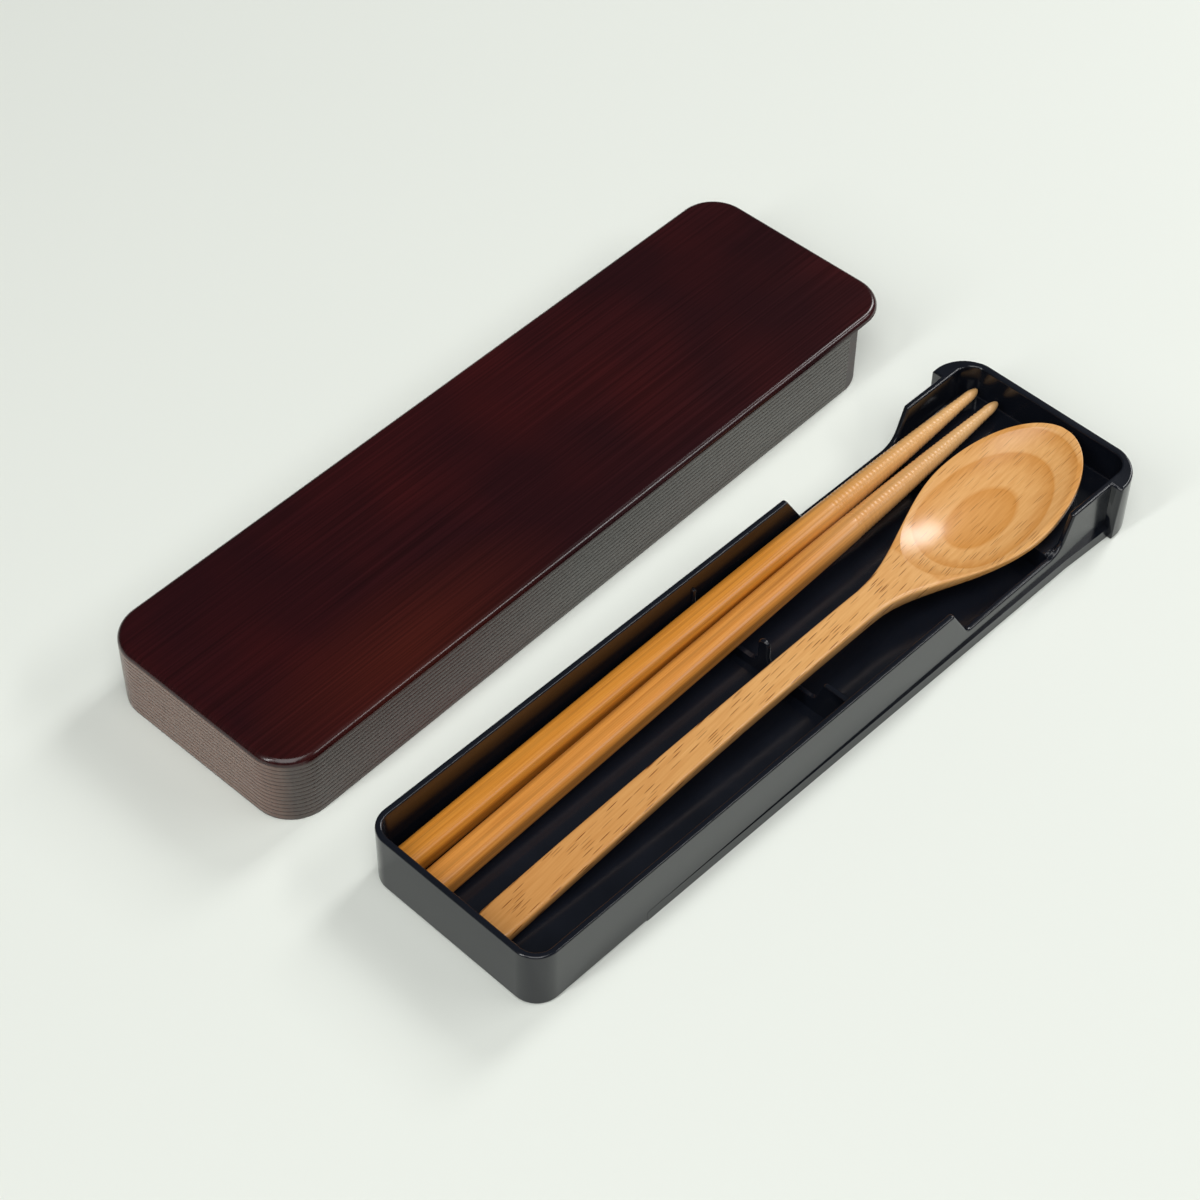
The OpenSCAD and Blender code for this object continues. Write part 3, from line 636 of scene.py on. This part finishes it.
    def place(self):
        """Where the spoon lies: on the floor at its handle's end and on the deck's edge at its bowl."""
        k = self.k
        foot = self.LEAST
        low = self.top(foot) - self.depth(foot)
        over = np.linspace(DECK_Y - self.START, self.length, self.DECK_STEPS)
        tilt = max(math.atan2(DECK_H - TRAY_FLOOR + low - self.top(s) + self.depth(s), s - foot) for s in over)
        x = INNER_W / 2 - self.SIDE_PLAY - k.bowl_width / 2
        return (Matrix.Translation((x, self.START + self.widest - TRAY_L / 2, 0))
                @ Matrix.Rotation(math.radians(-k.turn), 4, "Z")
                @ Matrix.Translation((0, -self.widest, TRAY_FLOOR + REST_GAP))
                @ Matrix.Rotation(tilt, 4, "X")
                @ Matrix.Translation((0, 0, -low)))


def placed(points, matrix):
    """Points in millimetres, put in place by a matrix, in metres."""
    m = np.array(matrix)
    return (points @ m[:3, :3].T + m[:3, 3]) * MM


def wooden_stick(looks, name, x, turn, shift, seed):
    """A chopstick in its place, its skin unrolled along the grain."""
    rings = stick_rings(looks, STICK_POINTS, seed)
    girth = 4 * looks.width * MM

    def skin(i, j):
        return girth * j / STICK_POINTS + shift, float(rings[i, 0, 1]) * MM + shift

    return lofted("wooden_stick_" + name, placed(rings, stick_place(looks, x, turn)), skin)


def size(name, words, default):
    """A length in metres for the sidebar."""
    return bpy.props.FloatProperty(name=name, description=words, default=default, min=0.0, max=1.0,
                                   unit="LENGTH", precision=5)


def number(name, words, default, high=1000.0, **kind):
    """A number for the sidebar, with the unit or subtype that fits it."""
    return bpy.props.FloatProperty(name=name, description=words, default=default, min=0.0, max=high, **kind)


def colour(name, words, code):
    """A colour for the sidebar, from its hex value."""
    return bpy.props.FloatVectorProperty(name=name, description=words, default=linear(code)[:3], subtype="COLOR",
                                         size=3, min=0.0, max=1.0)


class CoverLooks(bpy.types.PropertyGroup):
    """Sizes and colours of the cover."""

    width: size("Width", "Width of the cover", 0.060)
    corner: size("Corner", "Corner radius of the cover", 0.010)
    rib_run: size("Rib run", "How far the ribs run along the walls", 0.1884)
    rib_pitch: size("Rib pitch", "Distance from one rib to the next", 0.00129)
    rib_first: size("First rib", "Height of the lowest rib", 0.0010)
    rib_width: size("Rib half width", "Half the width of a rib", 0.00061)
    rib_height: size("Rib height", "How far a rib stands out of the wall", 0.00003)
    rib_count: bpy.props.IntProperty(name="Ribs", description="Number of ribs up the wall", default=14, min=1, max=40)
    hairline_pitch: size("Hairline pitch", "Distance from one hairline to the next", 0.00052)
    patch_at: bpy.props.FloatVectorProperty(name="Warm patch", size=3, default=(2.55, 1.21, 0.0),
                                            description="Shift of the warm patch, in its own spans")
    edge: size("Edge", "Rounding of the sharp edges", 0.00025)
    roughness: number("Roughness", "Roughness of the lacquer", 0.21, 1.0, subtype="FACTOR")
    # The closed end's tones are painted light: lighter, as the front light falls on that face.
    lit_end_colour: colour("Near tone", "Lacquer at the closed end", "#2b0608")
    far_colour: colour("Far tone", "Lacquer at the open end", "#230509")
    warm_colour: colour("Warm tone", "Redder clouds in the lacquer", "#390a0a")
    # Colour of the painted reflection: a warm patch on the top.
    reflection_colour: colour("Patch tone", "Warm patch by the long edge", "#40130b")
    # Painted light: the closed end's ribs are lighter, as the front light falls on them.
    lit_end_ribs: colour("Near ribs", "Thin lacquer on the ribs of the closed end", "#8a6d61")
    rib_far: colour("Far ribs", "Lacquer on the ribs of the long walls", "#4c4843")


class TrayLooks(bpy.types.PropertyGroup):
    """Sizes and colours of the tray."""

    edge: size("Edge", "Rounding of the rim and of the other edges over the rails", 0.0005)
    edge_from: size("Edges from", "Height from which edges are rounded", 0.0045)
    roughness: number("Roughness", "Roughness of the gloss plastic", 0.15, 1.0, subtype="FACTOR")
    colour: colour("Colour", "Black of the plastic", "#10131a")


class ChopstickLooks(bpy.types.PropertyGroup):
    """Sizes in millimetres and colours of the chopsticks."""

    length: number("Length", "Length of a chopstick in millimetres", 194.5)
    width: number("Width", "Width of the square grip in millimetres", 6.5)
    edge: number("Edge", "Rounding of the grip's long edges in millimetres", 2.0)
    tip: number("Tip", "Diameter of the tip in millimetres", 2.2)
    dome: number("Round end", "Length of the tip's round end in millimetres", 4.5)
    taper: number("Taper", "How late the taper sets in", 4.5)
    groove_run: number("Groove run", "Length of the grooved stretch in millimetres", 55.0)
    groove_pitch: number("Groove pitch", "Distance from one groove to the next in millimetres", 1.25)
    groove_depth: number("Groove depth", "Depth of a groove in millimetres", 0.16)
    stripe_width: size("Stripe width", "Width of a stripe of grain", 0.0016)
    roughness: number("Roughness", "Roughness of the varnish", 0.3, 1.0, subtype="FACTOR")
    left_colour: colour("Left wood", "Main tone of the left chopstick", "#cd8730")
    right_colour: colour("Right wood", "Main tone of the right chopstick", "#d08b3e")
    # Painted sheen on the far half of each chopstick.
    tip_sheen_colour: colour("Tip", "Paler wood of the grooved end", "#ecc48a")


class SpoonLooks(bpy.types.PropertyGroup):
    """Sizes in millimetres and colours of the spoon."""

    bowl_width: number("Bowl width", "Width of the bowl in millimetres", 31.3)
    bowl_tip: number("Bowl tip", "From the widest section to the tip in millimetres", 27.4)
    neck: number("Neck", "Length over which the handle widens in millimetres", 45.0)
    handle_width: number("Handle width", "Width of the handle near its end in millimetres", 9.0)
    waist: number("Waist", "Width of the handle at its waist in millimetres", 7.7)
    handle_thick: number("Handle thickness", "Thickness of the handle in millimetres", 3.7)
    handle_end: number("End thickness", "Thickness of the handle's end in millimetres", 3.0)
    arch: number("Arch", "Height of the handle's arch in millimetres", 3.6)
    dip: number("Dip", "Dip of the bowl's mouth in millimetres", 3.2)
    rise: number("Rise", "Rise of the tip over the mouth in millimetres", 4.7)
    dish: number("Dish", "Depth of the dish in millimetres", 3.4)
    dish_run: number("Dish run", "From the dish's near end to the widest section in millimetres", 28.2)
    handle_edge: number("Handle edge", "Rounding of the handle's upper edges in millimetres", 0.8)
    rim_edge: number("Rim edge", "Rounding of the bowl's rim in millimetres", 0.3)
    bowl_thick: number("Bowl thickness", "Wood under the dish in millimetres", 1.2)
    rim: number("Rim", "Width and thickness of the rim in millimetres", 1.4)
    turn: number("Turn", "Turn of the spoon as it lies in degrees", 0.35)
    ring_mm: number("Rings", "Distance from one growth ring to the next in millimetres", 2.05)
    ring_tilt: number("Ring tilt", "Rise of the growth rings towards the tip", 0.09, subtype="ANGLE")
    ring_phase: number("Ring phase", "Shift of the growth rings", 3.03, subtype="ANGLE")
    grain_turn: number("Grain turn", "Turn of the grain against the spoon", 0.08, subtype="ANGLE")
    grain_lean: number("Grain lean", "Lean of the grain over to one side", 0.5, subtype="ANGLE")
    fleck_gap: size("Fleck gap", "Distance across from one fleck to the next", 0.00058)
    fleck_run: size("Fleck run", "Distance along from one fleck to the next", 0.0125)
    roughness: number("Roughness", "Roughness of the oiled wood", 0.24, 1.0, subtype="FACTOR")
    wood_colour: colour("Wood", "Main tone of the beech", "#e4ae6d")
    late_colour: colour("Late wood", "Darker part of a growth ring", "#d5964d")
    # Painted shade on the handle's near end.
    near_shade_tint: colour("Grip tint", "Tint of the handle's end from use", "#e5d8c4")
    fleck_colour: colour("Fleck", "Tone of the ray flecks", "#70390f")


class StageLooks(bpy.types.PropertyGroup):
    """Floor and light."""

    floor_colour: colour("Floor", "Colour of the table top", "#e9ede5")
    window: number("Window", "Power of the tall window at the back", 6.2, unit="POWER")
    skylight: number("Skylight", "Power of the wide window on the right", 2.9, unit="POWER")
    overhead: number("Overhead", "Power of the long softbox overhead", 22.4, unit="POWER")
    front: number("Front", "Power of the tall narrow window in front", 4.4, unit="POWER")


class CASE_OT_cover(bpy.types.Operator):
    """Dress the cover: softened edges, its ribs and its lacquer"""

    bl_idname = "chopstick_case.cover"
    bl_label = "Cover"

    def execute(self, context):
        looks = context.scene.case_cover
        lacquer = satin_lacquer("satin_lacquer_on_abs", looks, looks.lit_end_colour, looks.far_colour, lines=1.0)
        # The ribs' closed-end tone is painted light.
        thin = satin_lacquer("thin_lacquer_on_ribs", looks, looks.lit_end_ribs, looks.rib_far, lines=0.2)
        seat(softened("cover", looks.edge, segments=2), "cover", lacquer, "cover")
        ribs = baked("cover_ribs", rib_tree(looks, thin))
        turn = Matrix.Rotation(math.radians(COVER_TURN), 4, "Z")
        at = Matrix.Translation((COVER_AT[0] * MM, COVER_AT[1] * MM, 0))
        ribs.data.transform(at @ turn @ Matrix.Translation((0, -COVER_L / 2 * MM, 0)))
        seat(ribs, "cover", thin)
        return {"FINISHED"}


class CASE_OT_tray(bpy.types.Operator):
    """Dress the tray: softened edges and gloss plastic"""

    bl_idname = "chopstick_case.tray"
    bl_label = "Tray"

    def execute(self, context):
        looks = context.scene.case_tray
        moulding = softened("tray", looks.edge, segments=3, above=looks.edge_from)
        seat(moulding, "tray", gloss_abs(looks), "tray")
        return {"FINISHED"}


class CASE_OT_chopsticks(bpy.types.Operator):
    """Make the two chopsticks with their grooved tips and straight grain"""

    bl_idname = "chopstick_case.chopsticks"
    bl_label = "Chopsticks"

    def execute(self, context):
        looks = context.scene.case_chopsticks
        for name, x, turn, shift, seed in CHOPSTICKS:
            wood = varnished_wood("varnished_wood_" + name, looks, getattr(looks, name + "_colour"))
            piece = wooden_stick(looks, name, x, turn, shift, seed)
            seat(piece, "chopstick_" + name, wood, "chopstick_" + name)
        return {"FINISHED"}


class CASE_OT_spoon(bpy.types.Operator):
    """Make the spoon: a loft through close sections, with the dish's crisp edge"""

    bl_idname = "chopstick_case.spoon"
    bl_label = "Spoon"

    def execute(self, context):
        looks = context.scene.case_spoon
        form = SpoonForm(looks)
        places = form.places()
        rings = np.array([form.section(s) for s in places])
        around = rings.shape[1]
        piece = lofted("wooden_spoon", placed(rings, form.place()), lambda i, j: (j / around, places[i] * MM))
        seat(piece, "spoon", oiled_beech(looks), "spoon")
        return {"FINISHED"}


class CASE_OT_stage(bpy.types.Operator):
    """Set the table top, the soft lights and the camera"""

    bl_idname = "chopstick_case.stage"
    bl_label = "Stage"

    def execute(self, context):
        looks = context.scene.case_stage
        mesh = bpy.data.meshes.new("table_top")
        r = TABLE_REACH
        mesh.from_pydata([(-r, -r, 0), (r, -r, 0), (r, r, 0), (-r, r, 0)], [], [(0, 1, 2, 3)])
        mesh.materials.append(matt_table(looks))
        floor = bpy.data.objects.new("table_top", mesh)
        context.scene.collection.objects.link(floor)

        for name, at, extent, power in LAMPS:
            lamp = bpy.data.lights.new(name, "AREA")
            lamp.shape = "RECTANGLE"
            lamp.size, lamp.size_y = extent
            lamp.energy = getattr(looks, power)
            holder = bpy.data.objects.new(name, lamp)
            holder.location = at
            holder.rotation_euler = (LAMP_AIM - holder.location).to_track_quat("-Z", "Y").to_euler()
            context.scene.collection.objects.link(holder)

        world = bpy.data.worlds.new("studio")
        world.use_nodes = True
        back = world.node_tree.nodes["Background"]
        back.inputs["Color"].default_value = linear(WORLD_COLOUR)
        back.inputs["Strength"].default_value = WORLD_STRENGTH
        context.scene.world = world

        camera = bpy.data.cameras.new("photo_camera")
        camera.lens = CAMERA_LENS
        camera.sensor_width = CAMERA_SENSOR
        camera.clip_start = 0.01
        eye = bpy.data.objects.new("photo_camera", camera)
        axes = Matrix((CAMERA_RIGHT, CAMERA_RIGHT.cross(CAMERA_AHEAD), -CAMERA_AHEAD)).transposed()
        eye.matrix_world = Matrix.Translation(CAMERA_AT) @ axes.to_4x4()
        context.scene.collection.objects.link(eye)
        context.scene.camera = eye
        context.scene.view_settings.view_transform = "Standard"
        return {"FINISHED"}


class CASE_PT_panel(bpy.types.Panel):
    """Sizes, colours and makers of the chopstick case"""

    bl_idname = "CASE_PT_panel"
    bl_label = "Chopstick Case"
    bl_space_type = "VIEW_3D"
    bl_region_type = "UI"
    bl_category = "Chopstick Case"

    def draw(self, context):
        for key, operator in MAKERS.items():
            group = getattr(context.scene, key)
            box = self.layout.box()
            box.operator(operator.bl_idname)
            for name in group.__annotations__:
                box.prop(group, name)


GROUPS = {
    "case_cover": CoverLooks,
    "case_tray": TrayLooks,
    "case_chopsticks": ChopstickLooks,
    "case_spoon": SpoonLooks,
    "case_stage": StageLooks,
}
MAKERS = {
    "case_cover": CASE_OT_cover,
    "case_tray": CASE_OT_tray,
    "case_chopsticks": CASE_OT_chopsticks,
    "case_spoon": CASE_OT_spoon,
    "case_stage": CASE_OT_stage,
}


def register():
    """Registers the classes and the scene's property groups."""
    for key, group in GROUPS.items():
        bpy.utils.register_class(group)
        setattr(bpy.types.Scene, key, bpy.props.PointerProperty(type=group))
    for operator in MAKERS.values():
        bpy.utils.register_class(operator)
    bpy.utils.register_class(CASE_PT_panel)


def unregister():
    """Takes the classes and the property groups away again."""
    bpy.utils.unregister_class(CASE_PT_panel)
    for operator in reversed(MAKERS.values()):
        bpy.utils.unregister_class(operator)
    for key, group in reversed(GROUPS.items()):
        delattr(bpy.types.Scene, key)
        bpy.utils.unregister_class(group)


def main():
    """Makes every piece and the stage."""
    register()
    bpy.ops.chopstick_case.cover()
    bpy.ops.chopstick_case.tray()
    bpy.ops.chopstick_case.chopsticks()
    bpy.ops.chopstick_case.spoon()
    bpy.ops.chopstick_case.stage()


if __name__ == "__main__":
    main()
